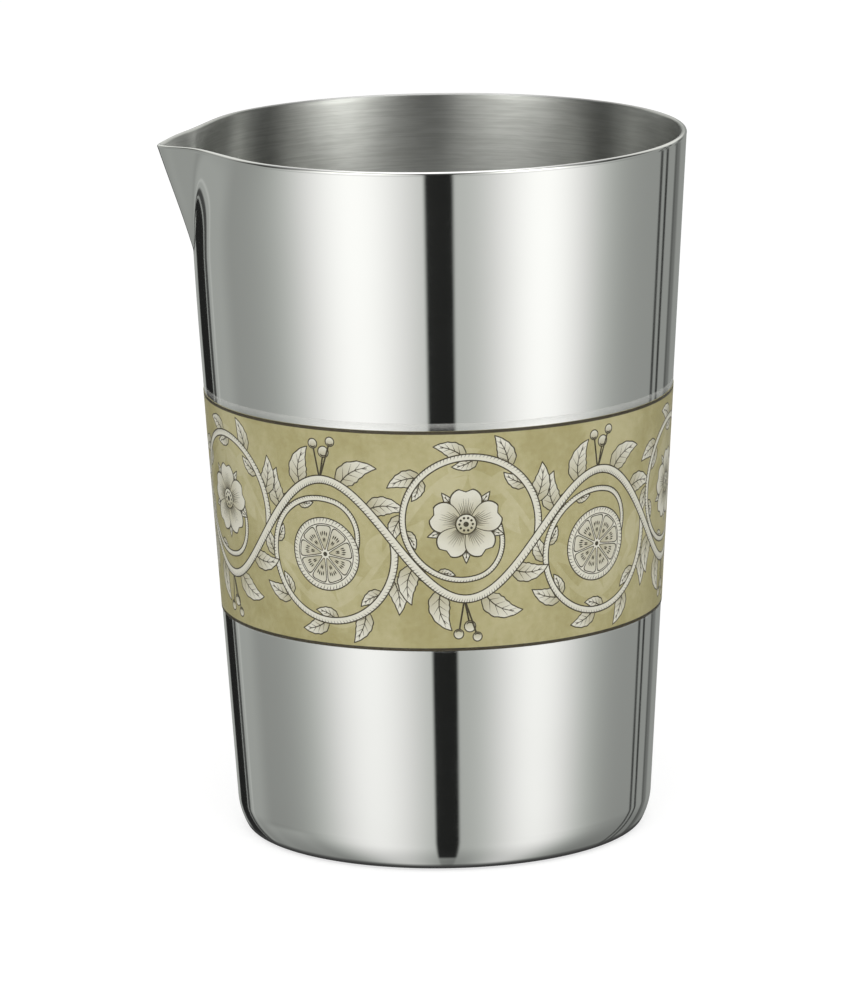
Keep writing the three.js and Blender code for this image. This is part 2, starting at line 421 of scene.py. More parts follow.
def polished_steel():
    """Mirror polish with the faint cloudiness and round marks that a buffing wheel leaves."""
    material = bpy.data.materials.new("polished_steel")
    nodes = Nodes(material)
    place = nodes.place()
    cloud = nodes.noise(place, BUFF_CLOUDS, 3.0)
    marks = nodes.noise(place, BUFF_MARKS, 3.0, 0.6)
    blend = nodes.blend(cloud, marks, BUFF_CLOUD_SHARE)
    tone = nodes.mix(cloud, colour(0.885, 0.890, 0.870), colour(0.915, 0.920, 0.905))
    rough = nodes.smooth(blend, NOISE_LOW, NOISE_HIGH, *BUFF_ROUGHNESS)
    bsdf = nodes.add("BsdfPrincipled", {"Base Color": tone, "Metallic": 1.0, "Roughness": rough})[0]
    nodes.output(bsdf)
    return material


def add_turned_metal(nodes, tone, rough, marks, bump, stretch):
    """Metal whose highlights are stretched by fine marks round the axis."""
    normal = nodes.add("Bump", {"Height": marks, **bump})[0]
    tangent = nodes.add("Tangent", direction_type="RADIAL", axis="Z")[0]
    inputs = {
        "Base Color": tone, "Metallic": 1.0, "Roughness": rough, "Normal": normal,
        "Anisotropic": stretch, "Anisotropic Rotation": QUARTER_TURN, "Tangent": tangent,
    }
    nodes.output(nodes.add("BsdfPrincipled", inputs)[0])


def satin_steel():
    """Liner: satin finish with turned marks round the axis and short wavy marks of the polishing."""
    material = bpy.data.materials.new("satin_steel")
    nodes = Nodes(material)
    place = nodes.place()
    fine = nodes.noise(place, TURNED_MARKS, 4.0, 0.65)
    sway = nodes.scaled(nodes.noise(place, WAVE_SWAY), (0, 0, SWAY_HEIGHT))
    swayed = nodes.add("VectorMath", {0: place, 1: sway}, operation="ADD")[0]
    waves = nodes.noise(swayed, POLISH_WAVES, 2.0, 0.6)
    cloud = nodes.noise(place, SATIN_CLOUDS)
    streaks = nodes.blend(fine, waves, TURNED_SHARE)
    bright = nodes.smooth(streaks, STREAK_LOW, STREAK_HIGH)
    tone = nodes.mix(bright, colour(0.56, 0.565, 0.55), colour(0.68, 0.685, 0.67))
    rough = nodes.smooth(cloud, NOISE_LOW, NOISE_HIGH, *SATIN_ROUGHNESS)
    add_turned_metal(nodes, tone, rough, streaks, SATIN_BUMP, SATIN_STRETCH)
    return material


def base_steel():
    """Base cap: satin finish with rings from the lathe."""
    material = bpy.data.materials.new("base_steel")
    nodes = Nodes(material)
    place = nodes.place()
    flat = nodes.scaled(place, (1, 1, 0))
    distance = nodes.add("VectorMath", {0: flat}, operation="LENGTH")["Value"]
    rings = nodes.noise(nodes.add("CombineXYZ", {"X": distance})[0], LATHE_RINGS, 4.0, 0.6)
    cloud = nodes.noise(place, BASE_CLOUDS, 3.0)
    tone = nodes.mix(rings, colour(0.54, 0.545, 0.53), colour(0.66, 0.665, 0.65))
    rough = nodes.smooth(cloud, NOISE_LOW, NOISE_HIGH, *BASE_ROUGHNESS)
    add_turned_metal(nodes, tone, rough, rings, BASE_BUMP, BASE_STRETCH)
    return material


def printed_khaki():
    """Strip: aged khaki ground, a fainter and a darker ink, and ivory fills that darken by their shade."""
    material = bpy.data.materials.new("printed_khaki")
    nodes = Nodes(material)
    place = nodes.place()
    ink = nodes.add("Attribute", attribute_name="ink")["Fac"]
    shade = nodes.add("Attribute", attribute_name="shade")["Fac"]
    blotch = nodes.noise(place, PRINT_BLOTCHES, 4.0, 0.6)
    grain = nodes.noise(place, PRINT_GRAIN, 3.0, 0.6)
    worn = nodes.smooth(nodes.blend(blotch, grain, BLOTCH_SHARE), AGE_LOW, AGE_HIGH)
    ground = nodes.mix(worn, colour(0.362, 0.320, 0.130), colour(0.500, 0.458, 0.246))
    ghost = nodes.mix(worn, colour(0.425, 0.384, 0.184), colour(0.545, 0.506, 0.300))
    sepia = nodes.mix(grain, colour(0.026, 0.018, 0.004), colour(0.044, 0.032, 0.008))
    ivory = nodes.mix(grain, colour(0.690, 0.670, 0.555), colour(0.750, 0.735, 0.630))
    tan = nodes.mix(grain, colour(0.390, 0.355, 0.205), colour(0.450, 0.415, 0.260))
    pale = nodes.mix(shade, ivory, tan)
    tone = ground
    for number, inked in ((GHOST, ghost), (SEPIA, sepia), (IVORY, pale)):
        tone = nodes.mix(nodes.math("GREATER_THAN", ink, number - 0.5), tone, inked)
    rough = nodes.smooth(grain, NOISE_LOW, NOISE_HIGH, *PRINT_ROUGHNESS)
    inputs = {"Base Color": tone, "Roughness": rough, **PRINT_GLOSS}
    nodes.output(nodes.add("BsdfPrincipled", inputs)[0])
    return material


def film_clear():
    """Clear film: all but invisible over the print, hazier towards its upper edge on the metal."""
    material = bpy.data.materials.new("clear_film")
    nodes = Nodes(material)
    place = nodes.place()
    height = nodes.math("MULTIPLY", nodes.add("SeparateXYZ", {0: place})["Z"], 1 / MM)
    haze = nodes.noise(place, FILM_HAZE)
    lap = nodes.smooth(height, PRINT_TOP, FILM_TOP, FILM_OVER_PRINT, FILM_AT_EDGE)
    alpha = nodes.math("MULTIPLY", lap, nodes.smooth(haze, HAZE_LOW, HAZE_HIGH, *HAZE_SPREAD))
    tone = nodes.mix(haze, colour(0.86, 0.86, 0.83), colour(0.92, 0.92, 0.89))
    inputs = {"Base Color": tone, "Roughness": FILM_ROUGHNESS, "Alpha": alpha}
    nodes.output(nodes.add("BsdfPrincipled", inputs)[0])
    return material


# Printed vine, as outlines in millimetres: u along the strip, v up from its lower edge

BAND_HEIGHT = PRINT_TOP - PRINT_BOTTOM
REPEATS = 5
REPEAT = 2 * (math.pi - SEAM_HALF_ANGLE) * BAND_RADIUS / REPEATS
MIDDLE = BAND_HEIGHT / 2
GHOST, SEPIA, IVORY = 1, 2, 3

# Lines, stem and branch
OUTLINE = 0.24
FINE_LINE = 0.09
BORDER = 0.6
WAVE = 10.8
STEM = 0.62
ROSETTE = 6.7
ROSETTE_DROP = 3.2
SPIRAL_CENTRE = np.array([REPEAT / 4, MIDDLE - ROSETTE_DROP])
SPIRAL_TURN = math.radians(380)
SPIRAL_SHRINK = 4.4
CURL_START = 0.78
CURL_DEPTH = 3.4
BRANCH_ENDS = (0.55, 0.3)
HATCH_PAST_MIDDLE = 0.15
HATCH_LEAN = 0.5

# Leaves and berries
LEAF_POINTS = 18
LEAF_LOBES = 5
LOBE_DEPTH = 0.06
LEAF_TIP = 1.6
HAIR = 0.02
VEIN_SPACING = 3
VEIN_REACH = 0.86
STALK = 0.17
BERRY_POINTS = 28
CRESCENT = np.radians(np.linspace(205, 335, 9))

# Cut fruit and blossom
FRUIT_SEGMENTS = 9
FRUIT_RIND = 0.95
RIND_LINE = 0.17
RIND_TICKS = 60
FRUIT_CORE = 0.42
JUICE_CELL = 0.13
PETALS = 5
PETAL_WIDTH = 2.75
PETAL_LINES = 9
STAMENS = 10
FLOWER_EYE = 1.75


def heading(angle):
    return np.array([math.cos(angle), math.sin(angle)])


def normals(path):
    along = np.gradient(path, axis=0)
    along /= np.linalg.norm(along, axis=1)[:, None]
    return np.stack([-along[:, 1], along[:, 0]], 1)


def ribbon(path, half_width):
    """Outline of a stroke along a path, to its right and back on its left."""
    side = normals(path) * np.broadcast_to(half_width, len(path))[:, None]
    return np.concatenate([path - side, (path + side)[::-1]])


def ring(centre, radius, count):
    angle = np.linspace(0, 2 * math.pi, count, endpoint=False)
    return centre + radius * np.stack([np.cos(angle), np.sin(angle)], 1)


def bent_path(start, angle, length, bend, count):
    """A path that sets out at an angle and turns steadily through the bend."""
    turned = angle + bend * (np.arange(count - 1) + 0.5) / (count - 1)
    steps = np.stack([np.cos(turned), np.sin(turned)], 1) * length / (count - 1)
    return np.concatenate([[start], start + np.cumsum(steps, 0)])


class Drawing:
    """Filled outlines, the later over the earlier.

    A ramp shades a fill from its first point to its second.
    """

    def __init__(self):
        self.shapes = []

    def fill(self, outline, ink, ramp=None):
        self.shapes.append((np.asarray(outline), ink, ramp))

    def stroke(self, path, half_width, ink=SEPIA):
        self.fill(ribbon(path, half_width), ink)

    def glided(self):
        """The same drawing half a repeat further on and upside down."""
        def glide(points):
            return np.array([REPEAT / 2, 2 * MIDDLE]) + np.asarray(points) * [1, -1]
        other = Drawing()
        for outline, ink, ramp in self.shapes:
            other.fill(glide(outline)[::-1], ink, None if ramp is None else glide(ramp))
        return other


def draw_stem(drawing, path, half_width, hatch_side):
    """A round stem: outline, pale fill and short hatching along its shaded side."""
    width = np.broadcast_to(half_width, len(path))
    drawing.stroke(path, width + OUTLINE)
    drawing.fill(ribbon(path, width), IVORY)
    side = normals(path) * hatch_side
    along = np.gradient(path, axis=0)
    for i in range(1, len(path) - 1):
        outer = path[i] + side[i] * (width[i] + OUTLINE / 2)
        inner = path[i] - side[i] * width[i] * HATCH_PAST_MIDDLE + along[i] * HATCH_LEAN
        foot = along[i] / np.linalg.norm(along[i]) * FINE_LINE
        tick = np.array([outer - foot, outer + foot, inner])
        drawing.fill(tick if hatch_side < 0 else tick[::-1], SEPIA)


def draw_leaf(drawing, start, angle, length, width, bend, lobes=0.0):
    """A bent pointed leaf with its midrib and side veins."""
    path = bent_path(start, angle, length, bend, LEAF_POINTS)
    t = np.linspace(0, 1, LEAF_POINTS)
    belly = np.sin(math.pi * t ** 0.72) ** 0.9 * (1 - 0.25 * t)
    half = width * belly * (1 + lobes * np.sin(t * LEAF_LOBES * 2 * math.pi)) + HAIR
    last = path[-1] - path[-2]
    tip = path[-1] + last / np.linalg.norm(last) * OUTLINE * LEAF_TIP
    drawing.stroke(np.concatenate([path, [tip]]), np.append(half + OUTLINE, HAIR))
    drawing.fill(ribbon(path, half), IVORY, (path[0], path[LEAF_POINTS * 2 // 3]))
    drawing.stroke(path[:-3], FINE_LINE * (1.5 - t[:-3]))
    side = normals(path)
    for i in range(VEIN_SPACING, LEAF_POINTS - 5, VEIN_SPACING):
        ahead = i + VEIN_SPACING
        for hand in (-1, 1):
            end = path[ahead] + hand * side[ahead] * half[ahead] * VEIN_REACH
            drawing.stroke(np.array([path[i], end]), FINE_LINE * np.array([0.75, 0.2]))


def draw_berry(drawing, start, end, radius):
    """A berry on a stalk, with two crescents of hatching on its lower side."""
    drawing.stroke(np.array([start, end]), STALK)
    drawing.fill(ring(end, radius + OUTLINE * 0.9, BERRY_POINTS), SEPIA)
    drawing.fill(ring(end, radius, BERRY_POINTS), IVORY, (end - [0, radius], end + [0, radius]))
    thickness = FINE_LINE * np.sin(np.linspace(0.1, math.pi - 0.1, len(CRESCENT)))
    for lift in (0.35, 0.62):
        reach = radius * (1 - lift * 0.42)
        drawing.stroke(end + reach * np.stack([np.cos(CRESCENT), np.sin(CRESCENT)], 1), thickness)


def spiral(progress):
    """Branch that keeps turning where the stem swings back, and winds inward to its rosette."""
    start = np.array([REPEAT / 2, MIDDLE]) - SPIRAL_CENTRE
    angle = math.atan2(start[1], start[0]) - SPIRAL_TURN * progress
    inward = np.clip((progress - CURL_START) / (1 - CURL_START), 0, 1)
    curl = CURL_DEPTH * inward ** 2 * (3 - 2 * inward)
    radius = np.hypot(*start) - SPIRAL_SHRINK * progress - curl
    return SPIRAL_CENTRE + radius[:, None] * np.stack([np.cos(angle), np.sin(angle)], 1)


def draw_branch(drawing):
    """The branch and its leaves: place along it, angle off it, length, half width and bend."""
    leaves = [
        (0.075, 50, 7.2, 1.8, 40), (0.175, 55, 6.4, 1.65, 40), (0.275, 50, 5.8, 1.55, 45),
        (0.385, 50, 6.2, 1.6, 40), (0.49, 42, 5.4, 1.4, 45), (0.60, 40, 4.8, 1.3, 40),
        (0.12, -48, 4.8, 1.3, -45), (0.25, -48, 4.6, 1.25, -45), (0.39, -46, 4.2, 1.15, -45),
        (0.53, -44, 3.6, 1.0, -45), (0.67, -42, 3.0, 0.85, -40),
    ]
    for place, off, length, width, bend in leaves:
        at, ahead = spiral(np.array([place, place + 0.01]))
        way = math.atan2(*(ahead - at)[::-1])
        draw_leaf(drawing, at, way + math.radians(off), length, width, -math.radians(bend), LOBE_DEPTH)
    path = spiral(np.linspace(0, 1, 130))
    draw_stem(drawing, path, np.linspace(*BRANCH_ENDS, len(path)), 1)


def stem_point(u):
    return np.stack([u, MIDDLE + WAVE * np.sin(2 * math.pi * u / REPEAT)], -1)


def draw_crest(drawing):
    """Leaves and berries above a crest of the stem."""
    top = REPEAT / 4
    for off, angle, length, width, bend in (
        (-9.5, 128, 7.4, 1.9, 65), (-4.6, 112, 8.0, 2.0, 70),
        (3.4, 62, 8.4, 2.1, 70), (8.6, 30, 7.2, 1.8, 60),
    ):
        at = stem_point(np.array(top + off))
        draw_leaf(drawing, at, math.radians(angle), length, width, -math.radians(bend), LOBE_DEPTH)
    foot = stem_point(np.array(top)) + [-0.4, 0]
    for end, radius in (((1.0, 5.2), 0.95), ((-1.1, 6.6), 0.8), ((2.4, 7.2), 0.75)):
        draw_berry(drawing, foot, foot + np.array(end), radius)


def wedge(centre, angle, half_angle, grow):
    """One segment of a cut fruit, with rounded corners."""
    inner, outer, web = 0.95, ROSETTE - 1.45, 0.22
    t = np.linspace(0, 2 * math.pi, 32, endpoint=False)
    round_x = np.sign(np.cos(t)) * np.abs(np.cos(t)) ** 0.45
    round_y = np.sign(np.sin(t)) * np.abs(np.sin(t)) ** 0.45
    reach = (inner + outer) / 2 + ((outer - inner) / 2 + grow) * round_x
    across = (reach * math.tan(half_angle) - web / math.cos(half_angle) + grow) * round_y
    return centre + reach[:, None] * heading(angle) + across[:, None] * heading(angle + math.pi / 2)


def draw_slice(drawing, centre):
    """A cut citrus fruit: rind, pith and segments with their juice cells."""
    drawing.fill(ring(centre, ROSETTE + OUTLINE, 80), SEPIA)
    drawing.fill(ring(centre, ROSETTE, 80), IVORY)
    for step in range(RIND_TICKS):
        angle = 2 * math.pi * step / RIND_TICKS
        reach = 0.55 if step % 2 else 0.8
        foot = centre + heading(angle) * (ROSETTE - 0.05)
        tick = np.array([foot, centre + heading(angle + 0.04) * (ROSETTE - reach)])
        drawing.stroke(tick, FINE_LINE * np.array([0.9, 0.2]))
    drawing.fill(ring(centre, ROSETTE - FRUIT_RIND, 72), SEPIA)
    drawing.fill(ring(centre, ROSETTE - FRUIT_RIND - RIND_LINE, 72), IVORY)
    half_angle = math.pi / FRUIT_SEGMENTS
    for k in range(FRUIT_SEGMENTS):
        angle = 2 * half_angle * (k + 0.3)
        ramp = (centre, centre + heading(angle) * ROSETTE)
        drawing.fill(wedge(centre, angle, half_angle, RIND_LINE), SEPIA)
        drawing.fill(wedge(centre, angle, half_angle, 0.0), IVORY, ramp)
        for lane, start, end in (
            (-0.2, 0.42, 0.60), (0.2, 0.42, 0.60),
            (-0.56, 0.66, 0.84), (-0.2, 0.66, 0.84), (0.2, 0.66, 0.84), (0.56, 0.66, 0.84),
        ):
            way = angle + lane * half_angle * 0.78
            reach = (ROSETTE - 1.5) * (1 - 0.12 * lane ** 2)
            cell = centre + np.linspace(start, end, 5)[:, None] * reach * heading(way)
            drawing.stroke(cell, JUICE_CELL * np.array([0.15, 0.6, 1.0, 0.9, 0.15]))
    drawing.fill(ring(centre, FRUIT_CORE, 20), SEPIA)


def petal(centre, angle, grow):
    """One petal: broad, with a shallow notch at its end."""
    t = np.linspace(0, 1, 26)
    body = np.sqrt(np.clip(1 - ((t - 0.6) / 0.4).clip(0) ** 2, 0, 1))
    spread = 0.2 + 0.8 * np.sin(math.pi / 2 * (t / 0.6).clip(0, 1))
    half = (PETAL_WIDTH * spread + grow) * body
    dent = 1 - 0.13 * np.exp(-((half / PETAL_WIDTH) / 0.3) ** 2) * t ** 3
    line = centre + (0.9 + (ROSETTE + grow - 0.9) * t * dent)[:, None] * heading(angle)
    side = half[:, None] * heading(angle + math.pi / 2)
    return np.concatenate([line - side, (line + side)[::-1]])


def draw_blossom(drawing, centre):
    """A wild blossom: five sepals, five notched petals with fine lines, and stamens."""
    for k in range(PETALS):
        angle = math.radians(90) + 2 * math.pi * (k + 0.5) / PETALS
        draw_leaf(drawing, centre + heading(angle) * 3.0, angle, 4.1, 0.9, 0.0)
    for k in range(PETALS):
        angle = math.radians(90) + 2 * math.pi * k / PETALS
        ramp = (centre + heading(angle) * 0.6, centre + heading(angle) * ROSETTE * 0.8)
        drawing.fill(petal(centre, angle, OUTLINE), SEPIA)
        drawing.fill(petal(centre, angle, 0.0), IVORY, ramp)
        for lane in np.linspace(-1, 1, PETAL_LINES):
            reach = 0.70 - 0.20 * abs(lane) + 0.08 * (round(lane * 4) % 2)
            line = centre + np.array([[1.6], [ROSETTE * reach]]) * heading(angle + lane * 0.42)
            drawing.stroke(line, FINE_LINE * np.array([1.0, 0.2]))
    drawing.fill(ring(centre, FLOWER_EYE + OUTLINE, 40), SEPIA)
    drawing.fill(ring(centre, FLOWER_EYE, 40), IVORY, (centre - [0, 1.7], centre + [0, 1.7]))
    for k in range(STAMENS):
        drawing.fill(ring(centre + 1.2 * heading(2 * math.pi * k / STAMENS), 0.24, 10), SEPIA)
    drawing.fill(ring(centre, 0.5, 16), SEPIA)


def draw_ghost(drawing):
    """Pale echo of the vine behind it: the wave upside down with plain leaves."""
    u = np.linspace(0, REPEAT, 61)
    path = np.stack([u, MIDDLE - WAVE * 1.2 * np.sin(2 * math.pi * u / REPEAT)], 1)
    belly = np.sin(math.pi * np.linspace(0, 1, 14) ** 0.8) + 0.01
    for place in range(2, 60, 4):
        way = math.atan2(*(path[place + 1] - path[place])[::-1])
        hand = 1 if place % 8 == 2 else -1
        leaf = bent_path(path[place], way + hand * 0.9, 7.5, -hand * 1.1, 14)
        drawing.stroke(leaf, 1.7 * belly, GHOST)
    drawing.stroke(path, 0.55, GHOST)


def vine():
    """All shapes of one repeat, with a line along both edges of the strip."""
    half = Drawing()
    draw_branch(half)
    draw_crest(half)
    drawing = Drawing()
    draw_ghost(drawing)
    drawing.shapes += half.shapes + half.glided().shapes
    draw_stem(drawing, stem_point(np.linspace(0, REPEAT, 121)), STEM, -1)
    draw_slice(drawing, SPIRAL_CENTRE)
    draw_blossom(drawing, np.array([SPIRAL_CENTRE[0] + REPEAT / 2, 2 * MIDDLE - SPIRAL_CENTRE[1]]))
    u = np.linspace(0, REPEAT, 61)
    for height in (BORDER / 2, BAND_HEIGHT - BORDER / 2):
        drawing.stroke(np.stack([u, np.full(len(u), height)], 1), BORDER / 2)
    return drawing


# Printed strip

STRIP_LENGTH = REPEAT * REPEATS
GRID_STEP = 1.35
SAME_POINT = 3e-4


def cut_strip(drawing):
    """Cuts the flat strip along the drawing's outlines: points, triangles, their ink and shade."""
    u = np.linspace(0, STRIP_LENGTH, round(STRIP_LENGTH / GRID_STEP) + 1)
    v = np.linspace(0, BAND_HEIGHT, round(BAND_HEIGHT / GRID_STEP) + 1)
    points = [np.stack(np.meshgrid(u, v), -1).reshape(-1, 2)]
    total = len(points[0])
    outlines = [[0, len(u) - 1, total - 1, total - len(u)]]
    marks = [(0, None)]
    for outline, ink, ramp in drawing.shapes:
        for repeat in range(-1, REPEATS + 1):
            shift = np.array([repeat * REPEAT, 0])
            moved = outline + shift
            if moved[:, 0].max() <= 0 or moved[:, 0].min() >= STRIP_LENGTH:
                continue
            points.append(moved)
            outlines.append(list(range(total, total + len(moved))))
            total += len(moved)
            marks.append((ink, None if ramp is None else np.asarray(ramp) + shift))
    flat = [Vector(point) for point in np.concatenate(points).tolist()]
    flat, _, faces, _, _, sources = delaunay_2d_cdt(flat, [], outlines, 0, SAME_POINT, True)
    flat = np.array(flat)
    inside = [i for i, source in enumerate(sources) if 0 in source]
    faces = np.array([faces[i] for i in inside])
    tops = np.array([max(sources[i]) for i in inside])
    inks = np.array([mark[0] for mark in marks])[tops]
    shades = np.zeros(faces.shape)
    for top in np.unique(tops):
        ramp = marks[top][1]
        if ramp is not None:
            rows = tops == top
            way = ramp[1] - ramp[0]
            run = (flat[faces[rows]] - ramp[0]) @ way / (way @ way)
            shades[rows] = np.clip(1 - run, 0, 1)
    used, faces = np.unique(faces, return_inverse=True)
    return flat[used], faces.reshape(-1, 3), inks, shades


def printed_strip():
    """The strip as one closed sheet: its front cut along the vine, its back plain."""
    flat, faces, inks, shades = cut_strip(vine())
    front = strip_points(flat, GLUE_LINE + PRINT_THICKNESS)
    lower, upper = edge_points(flat, 0, 1), edge_points(flat, BAND_HEIGHT, 1)
    first, last = edge_points(flat, 0), edge_points(flat, STRIP_LENGTH)
    count = len(lower)
    back = strip_points(np.concatenate([flat[lower], flat[upper]]), GLUE_LINE)
    back_lower = len(front) + np.arange(count)
    back_upper = back_lower + count
    rest = []
    for i in range(count - 1):
        rest.append([back_lower[i], back_upper[i], back_upper[i + 1], back_lower[i + 1]])
        rest.append([lower[i], back_lower[i], back_lower[i + 1], lower[i + 1]])
        rest.append([upper[i], upper[i + 1], back_upper[i + 1], back_upper[i]])
    rest.append([*first[::-1], back_lower[0], back_upper[0]])
    rest.append([*last, back_upper[-1], back_lower[-1]])
    rest = [[int(corner) for corner in face] for face in rest]
    piece = make_object("print", np.concatenate([front, back]), faces.tolist() + rest)
    extra = sum(len(face) for face in rest)
    inks = np.concatenate([inks, np.zeros(len(rest))])
    shades = np.concatenate([shades.reshape(-1), np.zeros(extra)])
    attributes = piece.data.attributes
    attributes.new("ink", "FLOAT", "FACE").data.foreach_set("value", inks.astype(np.float32))
    attributes.new("shade", "FLOAT", "CORNER").data.foreach_set("value", shades.astype(np.float32))
    return piece


def edge_points(flat, limit, axis=0):
    """Numbers of the points along one edge of the flat strip, in order."""
    on_edge = np.flatnonzero(np.abs(flat[:, axis] - limit) < SAME_POINT)
    return on_edge[np.argsort(flat[on_edge, 1 - axis])]


def strip_points(flat, outward):
    angle = flat[:, 0] / BAND_RADIUS - (math.pi - SEAM_HALF_ANGLE)
    z = PRINT_BOTTOM + flat[:, 1]
    return placed(wall_radius(z) + outward, z, angle)


# Pieces on the cup

LIP_POLISHED = 0.55


def dress(piece, node, slot, *materials):
    """Gives a piece its materials and lets it stand for a node of the model."""
    for material in materials:
        piece.data.materials.append(material)
    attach(piece, "root")
    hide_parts(node)


def polish_lip(liner):
    """The outer half of the rolled lip is polished like the shell and takes the second material."""
    first = len(liner_face(0))
    last = first + LIP_STEPS * LIP_POLISHED
    for face in liner.data.polygons:
        face.material_index = int(first <= face.index // COLUMNS <= last)


shell, liner, cap, film = outer_shell(), inner_liner(), base_cap(), clear_film()
strip = printed_strip()
polish = polished_steel()
dress(shell, "outer_shell", "polished_steel", polish)
dress(liner, "inner_liner", "satin_steel", satin_steel(), polish)
polish_lip(liner)
dress(cap, "base_cap", "base_steel", base_steel())
dress(strip, "printed_strip", "printed_khaki", printed_khaki())
dress(film, "clear_film", "clear_film", film_clear())


# Camera

CAMERA_AZIMUTH = math.radians(-6.4)
CAMERA_ELEVATION = math.radians(12.24)
CAMERA_DISTANCE = 1.1755
CAMERA_ROLL = math.radians(-0.9)
CAMERA_LENS = 226.66
AIM_RIGHT = -3.49
AIM_UP = -4.01


def add_camera():
    centre = Vector((0, 0, HEIGHT / 2 * MM))
    flat = math.cos(CAMERA_ELEVATION)
    away = Vector((
        math.sin(CAMERA_AZIMUTH) * flat, -math.cos(CAMERA_AZIMUTH) * flat, math.sin(CAMERA_ELEVATION),
    ))
    straight = (-away).to_track_quat("-Z", "Y")
    aim = centre + straight @ Vector((AIM_RIGHT, AIM_UP, 0)) * MM
    data = bpy.data.cameras.new("camera")
    data.lens = CAMERA_LENS
    data.clip_start = 0.05
    camera = bpy.data.objects.new("camera", data)
    camera.location = centre + away * CAMERA_DISTANCE
    turned = (aim - camera.location).to_track_quat("-Z", "Y")
    camera.rotation_mode = "QUATERNION"
    camera.rotation_quaternion = turned @ Quaternion((0, 0, 1), CAMERA_ROLL)
    bpy.context.scene.collection.objects.link(camera)
    bpy.context.scene.camera = camera


# Studio: two large softboxes with a gap between them, a grey room and dark flags
#
# Azimuths are in degrees from the cup towards the camera, and count to the camera's right.
# Elevations are in degrees above the horizon. A level of 1 is white.
# A box has an azimuth, a width and a level.
# A strip has a first and a last azimuth, and the softness of both edges.
# A fade has a start and an end, and the levels there.

AMBIENT = 0.75
ROOM_LEVEL = 0.29
LOW_BOXES = ((-38, 33, 0.80), (51, 30, 0.80))
LEFT_WALL = (-128, -112, 0.07, 0.0)
FLANK_STRIP = (-125, -88, 8, 8)
FLANK_FADE = (-27, -21, 0.09, 0.0)
PALE_STRIP, PALE_LEVEL = (-137.5, -136, 0.8, 0.8), 0.1
GAP_STRIP, GAP_DEPTH = (-5.2, 8.0, 1.2, 1.2), 0.965
TABLE_FADE = (-57, -51, 0.35, 1.0)
FLAGS = (
    ((-161.5, -145.6, 1.6, 0.5), 0.955),
    ((-144.5, -140.8, 0.5, 0.8), 0.84),
    ((127.2, 129.8, 0.8, 0.8), 0.82),
    ((133.3, 135.9, 0.8, 0.8), 0.88),
    ((145, 148, 1.0, 2.0), 0.45),
    ((146, 154, 1.5, 3.0), 0.45),
)
LOWER_FADE = (-24, -15, 0.82, 1.0)
DOWNWARD_FADE = (-70, -25, 0.78, 1.0)
GREY_TINT, PALE_TINT = colour(0.965, 1.0, 0.955), colour(1.0, 1.0, 0.985)
PALE_FROM = (0.35, 0.8)

HIGH_FROM = (-9, 4)
HIGH_BOXES = ((-38, 24, 1.7), (45.5, 19.5, 2.4))
HIGH_FADE = (4, 26, 1.15, 0.76)
HIGH_GAP, HIGH_GAP_DEPTH = (-7, 9, 5, 5), 0.95
HIGH_ROOM_LEVEL = 0.05
HIGH_TINT = (0.99, 1.0, 0.95)
BEHIND_FADE = (108, 148, 0.0, 0.75)
HORIZON_FADE = (80, 100, 0.0, 14.0)
CEILING_FROM = (35, 50)
CEILING_FADE = (126, 150, 0.35, 0.8)
OVERHEAD_FROM = (55, 72)
OVERHEAD_LEVEL = 1.6


def grey(level):
    return colour(level, level, level)


